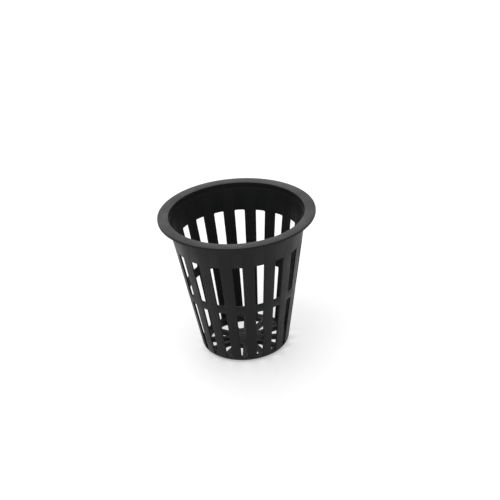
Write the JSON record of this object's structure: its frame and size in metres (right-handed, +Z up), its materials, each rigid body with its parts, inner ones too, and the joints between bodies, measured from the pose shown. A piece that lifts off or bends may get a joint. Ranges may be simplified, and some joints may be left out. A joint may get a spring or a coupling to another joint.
{
  "type": "hydroponic net pot",
  "caption": "Tapered slotted basket with a wide flat rim and a pierced base, dropped into a lid hole to hold a plant and its growing medium.",
  "frame": {"origin": "centre of the base's underside", "axes": "+Z up the pot's axis to the mouth; -Y is the front, where a wall slot and a base spoke line up"},
  "size_m": [0.0522, 0.0522, 0.0492],
  "materials": {
    "black_plastic": "moulded satin black polypropylene"
  },
  "bodies": {
    "root": {"net_pot": "black_plastic"}
  },
  "joints": []
}
